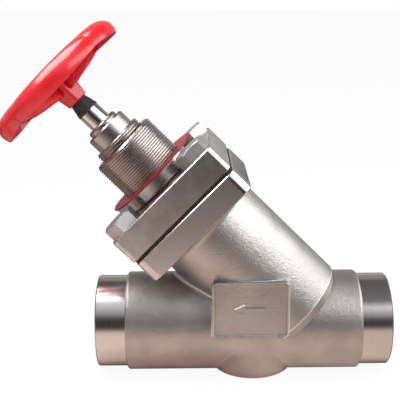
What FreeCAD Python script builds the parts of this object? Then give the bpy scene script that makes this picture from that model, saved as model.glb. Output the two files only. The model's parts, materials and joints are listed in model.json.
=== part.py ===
import FreeCAD, Part
import math
import os

# Straightway shut-off valve with a slanted stem, cast in stainless steel, for butt welding into a pipe.
# Lengths are in millimetres and angles in degrees. The origin is the centre of the inlet's end face:
# the pipe run goes along -X to the outlet, +Z is up, and the stem rises towards -X and +Z.

# Pipe run
end_to_end = 153.0
pipe_outside_dia = 48.3
pipe_wall = 2.6
weld_end_length = 15.5
weld_edge_break = 0.6
cast_step = 1.85
cast_wall = 5.5
shoulder_radius = 1.6
passage_taper_length = 2.5

# Stem axis, and the levels that are measured along it from where it crosses the pipe axis
stem_angle = 45.0
stem_crossing = 41.9
chamber_end_level = 7.0
partition_level = 8.0
partition_thickness = 7.0
neck_land = 4.3

# Seat and valve chamber
seat_bore_dia = 38.0
seat_land_width = 2.5
seat_land_height = 1.0
seat_overlap = 0.7
cone_rim_width = 0.6
flow_gap = 1.8
chamber_wall = 4.5
chamber_bevel_height = 4.2
chamber_bevel_width = 2.4
chamber_blend_radius = 2.0
flange_root_radius = 3.5

# Boss under the body, and the raised name field on its side
boss_dia = 44.0
boss_middle = 71.4
boss_drop = 0.3
boss_edge_radius = 5.0
field_length = 38.6
field_height = 29.8
field_middle_x = 73.6
field_middle_z = 15.6
field_proud = 1.3
field_rim_width = 1.5
field_recess = 0.7
field_corner_radius = 2.4
field_edge_radius = 0.5

# Square flanges, gasket and bolts
flange_thickness = 12.7
flange_corner_radius = 5.0
bolt_edge = 9.0
bolt_dia = 10.0
bolt_grip = 9.1
bolt_clearance = 0.5
bolt_head_flats = 16.0
bolt_head_height = 6.4
bolt_head_land = 0.3
bolt_head_slope = 30.0
bolt_turns = (13.0, 37.0, 51.0, 28.0)
gasket_thickness = 1.5
gasket_width = 4.3
gasket_inset = 0.3
gasket_edge_inset = 0.8

# Bonnet
bonnet_plate_thickness = 14.4
bonnet_corner_radius = 3.0
bonnet_neck_step = 2.35
bonnet_neck_height = 7.3
bonnet_neck_fillet = 1.6
spigot_depth = 14.0
spigot_clearance = 0.1
spigot_wall = 4.0
spigot_recess = 7.0
cap_thread_wall = 4.45
cap_thread_length = 21.8
thread_runout = 1.2
thread_relief = 1.0
marker_ring_width = 9.2
marker_ring_thickness = 0.8

# Clearances and broken edges of the machined pieces
tapped_clearance = 0.05
seal_clearance = 0.04
running_clearance = 0.08
body_gap = 0.3
edge_break = 0.5
tap_spare = 0.8

# Gland and packing
packing_width = 3.0
gland_nose_wall = 2.6
gland_nose_length = 5.0
gland_gasket_width = 2.5
gland_thread_shown = 4.3
gland_edge_break = 0.8
gland_head_wall = 2.6
gland_head_height = 8.1
gland_roof = 12.5
gland_gasket_thickness = 1.0
o_ring_section = 1.8
wiper_width = 2.9
wiper_height = 2.8
wiper_round = 1.8
wiper_seat_depth = 1.6
packing_ring_count = 3
packing_ring_height = 3.0
packing_ring_crown = 0.75
packing_follower_height = 4.6
packing_nut_height = 2.4
disc_spring_count = 4
disc_spring_height = 1.1
disc_spring_thickness = 0.5

# Spindle, its sleeve and its travel
travel = 12.0
thread_pitch = 2.0
backseat_gap = 0.05
stem_dia = 11.8
stem_thread_step = 2.1
stem_neck_dia = 13.0
stem_head_dia = 19.2
stem_head_height = 6.0
stem_head_chamfer = 1.0
backseat_width = 2.5
backseat_rim = 4.0
stem_shown = 8.2
sleeve_length = 7.2
sleeve_wall = 0.9
sleeve_top_wall = 0.4
sleeve_proud = 0.2
sleeve_foot_height = 0.8
drive_flats = 7.0
drive_turned_dia = 8.8
drive_clearance = 0.05

# Cone and the pieces that it carries
seal_ring_height = 4.0
seal_ring_grip = 2.1
cone_disc_height = 7.0
cone_edge_break = 0.6
cone_back_chamfer = 2.5
cone_hub_wall = 3.5
cone_hub_chamfer = 1.5
cone_floor = 1.0
cone_plate_height = 3.5
cone_plate_chamfer = 1.5
retainer_height = 9.0
retainer_thread_depth = 1.5
retainer_slot_width = 4.0
retainer_slot_depth = 2.5
thrust_disc_height = 2.0
axial_play = 0.05
cone_screw_dia = 8.0
cone_screw_flats = 13.0
cone_screw_head = 5.3
cone_screw_grip = 6.2
cone_washer_dia = 14.8
cone_washer_height = 1.6

# Handwheel
wheel_dia = 79.2
lobe_count = 4
lobe_offset = 6.8
lobe_turn = 8.0
rim_rise = 21.4
rim_depth = 11.5
rim_shoulder = 9.0
rim_fullness = 0.55
rim_wall = 2.6
rim_width = 13.4
rim_inner_depth = 6.5
rim_lip_radius = 2.4
rim_scallop = 1.4
rim_tuck = 1.1
rim_tuck_height = 4.5
hub_flats = 11.4
hub_corner_radius = 2.8
hub_height = 14.0
hub_web = 4.0
hub_foot_flats = 9.6
hub_foot_height = 7.0
hub_foot_radius = 0.8
arm_width = 10.0
arm_thickness = 2.8
arm_drop = 1.6
arm_lap = 2.0
arm_rib_thickness = 3.4
arm_rib_level = 8.2
arm_rib_haunch = 3.0
arm_rib_end = 0.6
wheel_screw_dia = 6.0
wheel_screw_flats = 10.0
wheel_screw_head = 4.0
wheel_screw_grip = 10.4
wheel_screw_turn = 11.0
wheel_washer_dia = 12.0
wheel_washer_height = 1.6

# Radii and levels that follow from the sizes above
weld_r = pipe_outside_dia / 2
bore_r = weld_r - pipe_wall
cast_r = weld_r + cast_step
passage_r = cast_r - cast_wall
seat_r = seat_bore_dia / 2
seat_outer_r = seat_r + seat_land_width
seal_ring_r = seat_outer_r + seat_overlap
cone_r = seal_ring_r + cone_rim_width
chamber_r = cone_r + flow_gap
chamber_outer_r = chamber_r + chamber_wall
gasket_inner_r = chamber_r + gasket_inset
gasket_outer_r = gasket_inner_r + gasket_width
bolt_hole_r = bolt_dia / 2 + bolt_clearance
bolt_offset = (gasket_outer_r + bolt_hole_r + gasket_inset) / math.sqrt(2)
flange_half = bolt_offset + bolt_edge

stem_r = stem_dia / 2
thread_r = stem_r + stem_thread_step
backseat_r = thread_r + backseat_width
pocket_r = stem_r + packing_width
gland_nose_r = pocket_r + gland_nose_wall
gland_thread_r = gland_nose_r + gland_gasket_width
wiper_r = stem_r + wiper_width
gland_head_r = wiper_r + gland_head_wall
cap_thread_r = gland_thread_r + cap_thread_wall
bonnet_neck_r = cap_thread_r + bonnet_neck_step
marker_ring_r = cap_thread_r + marker_ring_width

# The crotch is where the chamber leaves the barrel, on the outlet's side. The flange stands clear of it.
lean = math.radians(stem_angle)
crotch_level = (cast_r + chamber_outer_r * math.cos(lean)) / math.sin(lean)
neck_blend_end = crotch_level + chamber_blend_radius / math.tan(lean / 2)
flange_underside = neck_blend_end + neck_land + flange_root_radius
flange_level = flange_underside + flange_thickness

partition_top = partition_level + partition_thickness
seat_level = partition_top + seat_land_height
bonnet_level = flange_level + gasket_thickness
plate_top = bonnet_level + bonnet_plate_thickness
neck_top = plate_top + bonnet_neck_height
bonnet_top = neck_top + cap_thread_length
spigot_end = bonnet_level - spigot_depth

gland_shoulder = bonnet_top + gland_thread_shown
gland_top = gland_shoulder + gland_head_height
wiper_seat = gland_top - wiper_seat_depth
wiper_top = gland_top + wiper_height
pocket_top = gland_top - gland_roof
packing_base = pocket_top - packing_ring_count * packing_ring_height
follower_level = packing_base - packing_follower_height
spring_level = follower_level - disc_spring_count * disc_spring_height
gland_bottom = spring_level - packing_nut_height
gland_step = gland_bottom + gland_nose_length
gland_seat = gland_step + gland_gasket_thickness
outer_groove_level = (gland_bottom + gland_seat) / 2
stem_groove_level = (pocket_top + wiper_seat) / 2

backseat_level = spigot_end - travel - backseat_gap
thread_end = gland_bottom - travel - thread_pitch
nut_end = thread_end + thread_pitch
sleeve_level = wiper_top + stem_shown
hub_level = sleeve_level + sleeve_length
hub_top = hub_level + hub_height
stem_end = hub_top - hub_web

seal_level = seat_level + axial_play
plate_level = seal_level - cone_plate_height
cone_screw_seat = plate_level - cone_washer_height
cone_level = seal_level + seal_ring_height
cone_disc_top = cone_level + cone_disc_height
cone_tap_end = cone_level + cone_screw_grip + tap_spare
cone_pocket_level = cone_tap_end + cone_floor
stem_foot = cone_pocket_level + thrust_disc_height + axial_play
head_top = stem_foot + stem_head_height
retainer_level = head_top + axial_play
cone_top = retainer_level + retainer_height
cone_pocket_r = stem_head_dia / 2 + body_gap
cone_hub_r = cone_pocket_r + cone_hub_wall
retainer_r = cone_pocket_r + retainer_thread_depth

rim_top = hub_level + rim_rise
rim_bottom = rim_top - rim_depth
lobe_r = wheel_dia / 2 - lobe_offset
lobe_half = math.radians(180 / lobe_count)
washer_top = hub_top + wheel_washer_height

X = FreeCAD.Vector(1, 0, 0)
Y = FreeCAD.Vector(0, 1, 0)
Z = FreeCAD.Vector(0, 0, 1)
ORIGIN = FreeCAD.Vector(0, 0, 0)

# Along the run: Z points from the inlet to the outlet. Along the stem: Z points up the stem axis,
# X up the slope on the inlet's side, and Y is the row's own.
run_frame = FreeCAD.Placement(ORIGIN, FreeCAD.Rotation(Y, -90))
stem_frame = FreeCAD.Placement(FreeCAD.Vector(-stem_crossing, 0, 0), FreeCAD.Rotation(Y, stem_angle - 90))

# Longer than anything in the valve, for cuts that run right through, and a cut's overshoot past a face
REACH = 4 * end_to_end
PAST = 1.0


def placed(shape, frame):
    """The shape, moved from its working frame into the row's frame."""
    moved = shape.copy()
    moved.Placement = frame.multiply(moved.Placement)
    return moved


def turned(profile):
    """A solid of revolution about Z, from its half section as points of radius and level."""
    points = [FreeCAD.Vector(radius, 0, level) for radius, level in profile]
    face = Part.Face(Part.makePolygon(points + points[:1]))
    return face.revolve(ORIGIN, Z, 360)


def disc(radius, low, high):
    return Part.makeCylinder(radius, high - low, FreeCAD.Vector(0, 0, low))


def ring(inner, outer, low, high):
    return turned([(inner, low), (outer, low), (outer, high), (inner, high)])


def chamfered_ring(inner, outer, low, high, chamfer):
    """A ring whose outer edges are both broken by the chamfer."""
    return turned([(inner, low), (outer - chamfer, low), (outer, low + chamfer), (outer, high - chamfer),
                   (outer - chamfer, high), (inner, high)])


def block(half_x, half_y, low, high, corner=0.0, broken=0.0):
    """An upright block about Z, with its four corners rounded and the outlines of its ends broken."""
    box = Part.makeBox(2 * half_x, 2 * half_y, high - low, FreeCAD.Vector(-half_x, -half_y, low))
    if corner:
        upright = [edge for edge in box.Edges if edge.tangentAt(edge.FirstParameter).isParallel(Z, 1e-6)]
        box = box.makeFillet(corner, upright)
    if broken:
        outlines = [edge for edge in box.Edges if edge.BoundBox.ZLength < broken]
        box = box.makeChamfer(broken, outlines)
    return box


def hexagon(flats, low, high):
    """A hexagonal prism about Z, given by its size across the flats."""
    corner = flats / math.sqrt(3)
    angles = [math.radians(60 * i) for i in range(7)]
    points = [FreeCAD.Vector(corner * math.cos(angle), corner * math.sin(angle), low) for angle in angles]
    return Part.Face(Part.makePolygon(points)).extrude(FreeCAD.Vector(0, 0, high - low))


def hex_bolt(flats, head, diameter, length, seat):
    """A hexagon bolt that points down from its seat, with the top of its head chamfered all round."""
    top = seat + head
    land = flats / 2 - bolt_head_land
    around = flats / math.sqrt(3) + PAST
    slope_foot = top - (around - land) * math.tan(math.radians(bolt_head_slope))
    blank = turned([(0, seat), (around, seat), (around, slope_foot), (land, top), (0, top)])
    tip = diameter / 10
    shank_r = diameter / 2
    end = seat - length
    shank = turned([(0, seat + head / 2), (shank_r, seat + head / 2), (shank_r, end + tip),
                    (shank_r - tip, end), (0, end)])
    return hexagon(flats, seat, top).common(blank).fuse(shank).removeSplitter()


def corners():
    """The four bolt places in a flange, from the stem axis."""
    return [(bolt_offset * a, bolt_offset * b) for a, b in ((1, -1), (1, 1), (-1, 1), (-1, -1))]


def circles_at(shape, radius, level, tolerance=0.05):
    """The circular edges about Z that have this radius and lie at this level."""
    found = []
    for edge in shape.Edges:
        if isinstance(edge.Curve, Part.Circle) and abs(edge.Curve.Radius - radius) < tolerance:
            if abs(edge.Curve.Center.z - level) < tolerance:
                found.append(edge)
    return found


def run_outside():
    """The outside of the pipe run: a cast barrel between two machined weld ends, cut square."""
    edge = weld_edge_break
    far = end_to_end
    weld = turned([(0, 0), (weld_r - edge, 0), (weld_r, edge), (weld_r, far - edge), (weld_r - edge, far),
                   (0, far)])
    barrel = disc(cast_r, weld_end_length, far - weld_end_length)
    rims = circles_at(barrel, cast_r, weld_end_length) + circles_at(barrel, cast_r, far - weld_end_length)
    barrel = barrel.makeFillet(shoulder_radius, rims)
    return placed(weld.fuse(barrel), run_frame)


def chamber_outside():
    """The slanted chamber: a cylinder with a bevelled lower end, up to the square flange."""
    top = flange_level - flange_thickness / 2
    barrel = turned([(0, chamber_end_level), (chamber_outer_r - chamber_bevel_width, chamber_end_level),
                     (chamber_outer_r, chamber_end_level + chamber_bevel_height), (chamber_outer_r, top),
                     (0, top)])
    flange = block(flange_half, flange_half, flange_underside, flange_level, flange_corner_radius, edge_break)
    neck = barrel.fuse(flange)
    neck = neck.makeFillet(flange_root_radius, circles_at(neck, chamber_outer_r, flange_underside))
    return placed(neck, stem_frame)


def foot_boss():
    """The round boss under the body, with a rounded edge and the flat end that the valve stands on."""
    low = -(cast_r + boss_drop)
    boss = disc(boss_dia / 2, low, 0)
    boss = boss.makeFillet(boss_edge_radius, circles_at(boss, boss_dia / 2, low))
    boss.translate(FreeCAD.Vector(-boss_middle, 0, 0))
    return boss


def name_field():
    """The raised rectangle on the side, with a rim round a recessed face. It carries no words."""
    face_y = -(chamber_outer_r + field_proud)
    half_x = field_length / 2
    half_z = field_height / 2
    turn = FreeCAD.Placement(FreeCAD.Vector(-field_middle_x, 0, field_middle_z), FreeCAD.Rotation(X, 90))
    slab = block(half_x, half_z, cast_r / 2, -face_y, field_corner_radius)
    floor = -face_y - field_recess
    inner = field_corner_radius - field_rim_width / 2
    rim = field_rim_width
    slab = slab.cut(block(half_x - rim, half_z - rim, floor, -face_y + PAST, inner))
    outline = [edge for edge in slab.Edges if edge.BoundBox.ZMin > floor + field_recess / 2]
    slab = slab.makeFillet(field_edge_radius, outline)
    over = block(half_x - rim, half_z - rim, floor, -face_y + PAST, inner)
    return placed(slab, turn), placed(over, turn)


def body_passages():
    """The hollow inside: bores and passages on both sides of the seat wall, and the bored chamber."""
    taper_end = weld_end_length + passage_taper_length
    passage = turned([(0, 0), (bore_r, 0), (bore_r, weld_end_length), (passage_r, taper_end),
                      (passage_r, end_to_end), (0, end_to_end)])
    below = placed(disc(REACH, -REACH, partition_level), stem_frame)
    inlet = placed(passage, run_frame).common(below)

    mirrored = FreeCAD.Placement(FreeCAD.Vector(0, 0, end_to_end), FreeCAD.Rotation(X, 180))
    above = placed(disc(REACH, partition_top, REACH), stem_frame)
    outlet = placed(placed(passage, mirrored), run_frame).common(above)

    seat_hole = disc(seat_r, partition_level - PAST, seat_level + PAST)
    chamber = turned([(0, seat_level), (seat_outer_r, seat_level), (seat_outer_r, partition_top),
                      (chamber_r, partition_top), (chamber_r, flange_level + PAST), (0, flange_level + PAST)])
    land = placed(ring(seat_r, seat_outer_r, partition_top - PAST, seat_level), stem_frame)
    return [inlet, outlet.cut(land), placed(seat_hole, stem_frame), placed(chamber, stem_frame)]


def body():
    """The cast body: run, chamber, flange, boss and name field, with the valve seat inside it."""
    slab, recess = name_field()
    shell = run_outside().fuse([chamber_outside(), foot_boss()]).removeSplitter()
    shell = blended(shell)
    shell = shell.fuse(slab).removeSplitter().cut(recess)
    for hollow in body_passages():
        shell = shell.cut(hollow)
    for x, y in corners():
        hole = disc(bolt_dia / 2 + tapped_clearance, flange_underside - PAST, flange_level + PAST)
        hole.translate(FreeCAD.Vector(x, y, 0))
        shell = shell.cut(placed(hole, stem_frame))
    return shell.removeSplitter()


def meeting_edges(shell):
    """The free-form edges, where one round form of the casting runs into another."""
    return [edge for edge in shell.Edges if not isinstance(edge.Curve, (Part.Circle, Part.Line))]


def blended(shell):
    """The casting's blend in the crotch between the chamber and the barrel of the pipe run."""
    crotch = [edge for edge in meeting_edges(shell)
              if edge.BoundBox.ZMax > cast_r / 2 and edge.BoundBox.XMax < -stem_crossing]
    return shell.makeFillet(chamber_blend_radius, crotch)


def bonnet():
    """The bonnet: square plate, centring spigot, round neck, cap thread and the bores inside."""
    plate = block(flange_half, flange_half, bonnet_level, plate_top, bonnet_corner_radius, edge_break)
    tip_r = cap_thread_r - thread_runout
    neck = turned([(0, plate_top - PAST), (bonnet_neck_r, plate_top - PAST), (bonnet_neck_r, neck_top),
                   (cap_thread_r, neck_top), (cap_thread_r, bonnet_top - thread_runout), (tip_r, bonnet_top),
                   (0, bonnet_top)])
    spigot_r = chamber_r - spigot_clearance
    core_r = backseat_r + spigot_wall
    spigot = disc(spigot_r, spigot_end, bonnet_level + PAST)
    shape = plate.fuse([neck, spigot]).removeSplitter()
    shape = shape.makeFillet(bonnet_neck_fillet, circles_at(shape, bonnet_neck_r, plate_top))
    shape = shape.cut(ring(core_r, spigot_r - spigot_wall, spigot_end - PAST, spigot_end + spigot_recess))
    nut_r = thread_r + running_clearance
    relief_r = nut_r + thread_relief
    nose_r = gland_nose_r + running_clearance
    gland_r = gland_thread_r + tapped_clearance
    seat_low_r = nut_r + backseat_width
    relief_level = nut_end + thread_relief
    bore = turned([(0, spigot_end - PAST), (seat_low_r, spigot_end - PAST), (seat_low_r, spigot_end),
                   (nut_r, spigot_end + backseat_width), (nut_r, nut_end), (relief_r, relief_level),
                   (relief_r, gland_bottom - PAST), (nose_r, gland_bottom - PAST), (nose_r, gland_step),
                   (gland_r, gland_step), (gland_r, bonnet_top + PAST), (0, bonnet_top + PAST)])
    shape = shape.cut(bore)
    for x, y in corners():
        hole = disc(bolt_hole_r, bonnet_level - PAST, plate_top + PAST)
        hole.translate(FreeCAD.Vector(x, y, 0))
        shape = shape.cut(hole)
    return placed(shape, stem_frame)


def bonnet_gasket():
    """The gasket: a square sheet between the flanges, with holes for the chamber and the bolts."""
    half = flange_half - gasket_edge_inset
    sheet = block(half, half, flange_level, bonnet_level, bonnet_corner_radius)
    sheet = sheet.cut(disc(gasket_inner_r, flange_level - PAST, bonnet_level + PAST))
    for x, y in corners():
        hole = disc(bolt_hole_r, flange_level - PAST, bonnet_level + PAST)
        hole.translate(FreeCAD.Vector(x, y, 0))
        sheet = sheet.cut(hole)
    return placed(sheet, stem_frame)


def bonnet_bolts():
    """The four hexagon bolts through the plate into the body's flange, each left as it was tightened."""
    length = bonnet_plate_thickness + gasket_thickness + bolt_grip
    bolts = []
    for (x, y), turn in zip(corners(), bolt_turns):
        bolt = hex_bolt(bolt_head_flats, bolt_head_height, bolt_dia, length, plate_top)
        bolt.rotate(ORIGIN, Z, turn)
        bolt.translate(FreeCAD.Vector(x, y, 0))
        bolts.append(placed(bolt, stem_frame))
    return Part.makeCompound(bolts)


def marker_ring():
    """The thin ring that marks the kind of valve, held between the neck and the cap thread."""
    inner = cap_thread_r + tapped_clearance
    return placed(ring(inner, marker_ring_r, neck_top, neck_top + marker_ring_thickness), stem_frame)


def o_ring_at(inner, section, level):
    """An O-ring about Z, given by its inner radius, its thickness and the level of its middle."""
    middle = FreeCAD.Vector(inner + section / 2, 0, level)
    circle = Part.Circle(middle, Y, section / 2).toShape()
    return Part.Face(Part.Wire([circle])).revolve(ORIGIN, Z, 360)


def packing_gland():
    """The gland screwed into the bonnet: threaded foot, plain head, and the packing pocket inside."""
    thread = gland_thread_r
    nose = gland_nose_r
    head = gland_head_r
    guide = stem_r + running_clearance
    counterbore = wiper_r + tapped_clearance
    edge = gland_edge_break
    outside = [(pocket_r, gland_bottom), (nose - edge, gland_bottom), (nose, gland_bottom + edge),
               (nose, gland_seat), (thread - edge, gland_seat), (thread, gland_seat + edge),
               (thread, gland_shoulder - edge), (thread - edge, gland_shoulder), (head, gland_shoulder),
               (head, gland_top - edge), (head - edge, gland_top)]
    inside = [(counterbore, gland_top), (counterbore, wiper_seat), (guide, wiper_seat), (guide, pocket_top),
              (pocket_r, pocket_top)]
    half = o_ring_section / 2
    outer_groove = ring(outer_groove_r(), nose + PAST, outer_groove_level - half, outer_groove_level + half)
    deep = stem_r + o_ring_section + tapped_clearance
    inner_groove = ring(stem_r, deep, stem_groove_level - half, stem_groove_level + half)
    return placed(turned(outside + inside).cut(outer_groove).cut(inner_groove), stem_frame)


def outer_groove_r():
    """The floor of the groove in the gland's nose, so deep that its O-ring just meets the bonnet's bore."""
    return gland_nose_r + running_clearance - seal_clearance - o_ring_section


def gland_o_ring():
    """The O-ring round the gland's nose."""
    return placed(o_ring_at(outer_groove_r(), o_ring_section, outer_groove_level), stem_frame)


def stem_o_ring():
    """The O-ring in the gland's head, round the stem."""
    section = o_ring_section - seal_clearance
    return placed(o_ring_at(stem_r + seal_clearance, section, stem_groove_level), stem_frame)


def gland_gasket():
    """The flat metal ring that seals the gland's shoulder on the step in the bonnet."""
    inner = gland_nose_r + running_clearance
    return placed(ring(inner, gland_thread_r - tapped_clearance, gland_step, gland_seat), stem_frame)


def wiper_ring():
    """The ring on top of the gland that wipes the stem, with its upper edge rounded."""
    inner = stem_r + running_clearance
    shape = ring(inner, wiper_r, wiper_seat, wiper_top)
    shape = shape.makeFillet(wiper_round, circles_at(shape, wiper_r, wiper_top))
    return placed(shape, stem_frame)


def packing_nut():
    """The ring screwed into the bottom of the gland, which carries the springs."""
    inner = stem_r + body_gap
    outer = pocket_r - tapped_clearance
    return placed(chamfered_ring(inner, outer, gland_bottom, spring_level, edge_break), stem_frame)


def packing_springs():
    """Disc springs, stacked in pairs back to back, that keep the packing pressed."""
    inner = stem_r + body_gap
    outer = pocket_r - body_gap
    dish = disc_spring_height - disc_spring_thickness
    springs = []
    for i in range(disc_spring_count):
        low = spring_level + i * disc_spring_height
        in_low = low + dish * (i % 2)
        out_low = low + dish * (1 - i % 2)
        profile = [(inner, in_low), (outer, out_low), (outer, out_low + disc_spring_thickness),
                   (inner, in_low + disc_spring_thickness)]
        springs.append(placed(turned(profile), stem_frame))
    return Part.makeCompound(springs)


def packing_follower():
    """The metal ring between the springs and the packing, with a crown that spreads the first ring."""
    inner = stem_r + running_clearance
    outer = pocket_r - running_clearance
    middle = (inner + outer) / 2
    return placed(turned([(inner, follower_level), (outer, follower_level), (outer, packing_base),
                          (middle, packing_base + packing_ring_crown), (inner, packing_base)]), stem_frame)


def packing_rings():
    """Chevron rings, nested in each other, that seal on the stem. The last one has a flat back."""
    inner = stem_r + seal_clearance
    outer = pocket_r - seal_clearance
    middle = (inner + outer) / 2
    rings = []
    for i in range(packing_ring_count):
        low = packing_base + i * packing_ring_height
        high = low + packing_ring_height
        profile = [(inner, low), (middle, low + packing_ring_crown), (outer, low), (outer, high)]
        if i < packing_ring_count - 1:
            profile.append((middle, high + packing_ring_crown))
        profile.append((inner, high))
        rings.append(placed(turned(profile), stem_frame))
    return Part.makeCompound(rings)


def cone_piece():
    """The cone: a disc over the seal ring, and a hub that holds the stem's head in its pocket."""
    tap_r = cone_screw_dia / 2 + tapped_clearance
    thread = retainer_r + tapped_clearance
    edge = cone_edge_break
    back = cone_back_chamfer
    root = cone_hub_chamfer
    shape = turned([(tap_r, cone_level), (cone_r - edge, cone_level), (cone_r, cone_level + edge),
                    (cone_r, cone_disc_top - back), (cone_r - back, cone_disc_top),
                    (cone_hub_r + root, cone_disc_top), (cone_hub_r, cone_disc_top + root),
                    (cone_hub_r, cone_top), (thread, cone_top), (thread, retainer_level),
                    (cone_pocket_r, retainer_level),
                    (cone_pocket_r, cone_pocket_level), (0, cone_pocket_level), (0, cone_tap_end),
                    (tap_r, cone_tap_end)])
    return placed(shape, stem_frame)


def seal_ring():
    """The soft ring that closes on the seat's land."""
    inner = seat_r - body_gap - seal_ring_grip
    return placed(ring(inner, seal_ring_r, seal_level, cone_level), stem_frame)


def cone_plate():
    """The plate that clamps the seal ring from below and guides the cone into the seat's bore."""
    outer = seat_r - body_gap
    grip = outer - seal_ring_grip - tapped_clearance
    hole = cone_screw_dia / 2 + bolt_clearance / 2
    return placed(turned([(hole, plate_level), (outer - cone_plate_chamfer, plate_level),
                          (outer, plate_level + cone_plate_chamfer), (outer, seal_level), (grip, seal_level),
                          (grip, cone_level), (hole, cone_level)]), stem_frame)


def cone_washer():
    inner = cone_screw_dia / 2 + tapped_clearance
    return placed(ring(inner, cone_washer_dia / 2, cone_screw_seat, plate_level), stem_frame)


def cone_screw():
    """The screw that clamps plate and seal ring to the cone from below."""
    length = cone_level + cone_screw_grip - cone_screw_seat
    screw = hex_bolt(cone_screw_flats, cone_screw_head, cone_screw_dia, length, 0)
    screw.rotate(ORIGIN, X, 180)
    screw.translate(FreeCAD.Vector(0, 0, cone_screw_seat))
    return placed(screw, stem_frame)


def thrust_disc():
    """The hard disc on which the stem's head turns when the valve is pressed shut."""
    outer = stem_head_dia / 2
    return placed(disc(outer, cone_pocket_level, cone_pocket_level + thrust_disc_height), stem_frame)


def cone_retainer():
    """The ring nut that keeps the stem's head in the cone, with a slot across it for a key."""
    inner = stem_neck_dia / 2 + running_clearance
    nut = chamfered_ring(inner, retainer_r, retainer_level, cone_top, edge_break)
    slot = block(retainer_r + PAST, retainer_slot_width / 2, cone_top - retainer_slot_depth, cone_top + PAST)
    return placed(nut.cut(slot), stem_frame)


def spindle():
    """The spindle: head, neck, back seat, thread, polished stem and the square that drives it."""
    neck = stem_neck_dia / 2
    head = stem_head_dia / 2
    rim_low = backseat_level - backseat_rim
    slope = backseat_r - neck
    taper_low = stem_r - sleeve_wall
    drive_r = drive_turned_dia / 2
    taper_high = drive_r - sleeve_top_wall
    edge = stem_head_chamfer
    shape = turned([(0, stem_foot), (head - edge, stem_foot), (head, stem_foot + edge), (head, head_top),
                    (neck, head_top), (neck, rim_low - slope), (backseat_r, rim_low),
                    (backseat_r, backseat_level), (thread_r, backseat_level + backseat_width),
                    (thread_r, thread_end - thread_runout), (stem_r, thread_end), (stem_r, sleeve_level),
                    (taper_low, sleeve_level), (taper_high, hub_level), (drive_r, hub_level),
                    (drive_r, stem_end - edge_break), (drive_r - edge_break, stem_end), (0, stem_end)])
    square = drive_square(drive_flats / 2, hub_level, stem_end + PAST)
    around = disc(head, hub_level, stem_end + PAST).cut(square)
    tap_end = stem_end - wheel_screw_grip - tap_spare
    tap = disc(wheel_screw_dia / 2 + tapped_clearance, tap_end, stem_end + PAST)
    return placed(shape.cut(around).cut(tap), stem_frame)


def drive_square(half, low, high):
    """A square prism about Z, turned so that its flats face the wheel's arms."""
    square = block(half, half, low, high)
    square.rotate(ORIGIN, Z, lobe_turn + 45)
    return square


def stem_sleeve():
    """The tapered black sleeve between the polished stem and the wheel's hub."""
    foot = stem_r + sleeve_proud
    top = drive_turned_dia / 2 + sleeve_proud
    inner_low = stem_r - sleeve_wall + tapped_clearance
    inner_high = drive_turned_dia / 2 - sleeve_top_wall + tapped_clearance
    profile = [(inner_low, sleeve_level), (foot, sleeve_level), (foot, sleeve_level + sleeve_foot_height),
               (top, hub_level), (inner_high, hub_level)]
    return placed(turned(profile), stem_frame)


def section(*runs):
    """A flat face in the plane of the radius and Z. Each run is the radius and level of a line's two ends,
    or of a curve's four poles, and starts where the one before it ends."""
    edges = []
    for run in runs:
        points = [FreeCAD.Vector(radius, 0, level) for radius, level in run]
        if len(points) == 2:
            edges.append(Part.makeLine(*points))
        else:
            curve = Part.BezierCurve()
            curve.setPoles(points)
            edges.append(curve.toShape())
    return Part.Face(Part.Wire(edges))


def rounded(start, end, fullness):
    """A curve's four poles: it leaves the start along Z and arrives at the end square to Z."""
    (start_r, start_z), (end_r, end_z) = start, end
    return [start, (start_r, start_z + (end_z - start_z) * fullness),
            (end_r + (start_r - end_r) * fullness, end_z), end]


def rim_lobe():
    """One lobe of the rim: a hollow section turned about the lobe's own middle, cut to its sector."""
    outer = lobe_r
    shoulder = outer - rim_shoulder
    inner = outer - rim_width
    inner_low = rim_top - rim_inner_depth
    inside = outer - rim_wall
    ceiling = rim_top - rim_wall
    belly = rim_bottom + rim_tuck_height
    tuck = rounded((outer, belly), (outer - rim_tuck, rim_bottom), rim_fullness)
    tuck[2] = (outer - rim_tuck / 2, rim_bottom + rim_tuck_height / 4)
    crown = rounded((outer, belly), (shoulder, rim_top), rim_fullness)
    lip = rounded((inner, rim_top - rim_lip_radius), (inner + rim_lip_radius, rim_top), rim_fullness)
    hollow = rounded((inside, rim_bottom), (shoulder, ceiling), rim_fullness)
    face = section(tuck[::-1], crown, [crown[3], lip[3]], lip[::-1], [lip[0], (inner, inner_low)],
                   [(inner, inner_low), (inner + rim_wall, inner_low)],
                   [(inner + rim_wall, inner_low), (inner + rim_wall, ceiling)],
                   [(inner + rim_wall, ceiling), hollow[3]], hollow[::-1], [hollow[0], tuck[3]])
    band = face.revolve(ORIGIN, Z, 360)
    band.translate(FreeCAD.Vector(lobe_offset, 0, 0))

    low = rim_bottom - PAST
    far = wheel_dia
    side = far * math.tan(lobe_half)
    corner_points = [(0, 0), (far, -side), (far, side), (0, 0)]
    sector = Part.Face(Part.makePolygon([FreeCAD.Vector(x, y, low) for x, y in corner_points]))
    lobe = band.common(sector.extrude(FreeCAD.Vector(0, 0, rim_depth + 2 * PAST)))

    chord = lobe_r * math.sin(lobe_half)
    scallop_r = (chord ** 2 + rim_scallop ** 2) / (2 * rim_scallop)
    scallop_middle = FreeCAD.Vector(0, 0, rim_bottom + scallop_r)
    return lobe.common(Part.makeCylinder(scallop_r, wheel_dia, scallop_middle, X))


def at_crease(radius):
    """How far from the wheel's axis a circle of a lobe passes through the crease between two lobes."""
    along = lobe_offset * math.cos(lobe_half)
    aside = lobe_offset * math.sin(lobe_half)
    return along + math.sqrt(radius ** 2 - aside ** 2)


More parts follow.
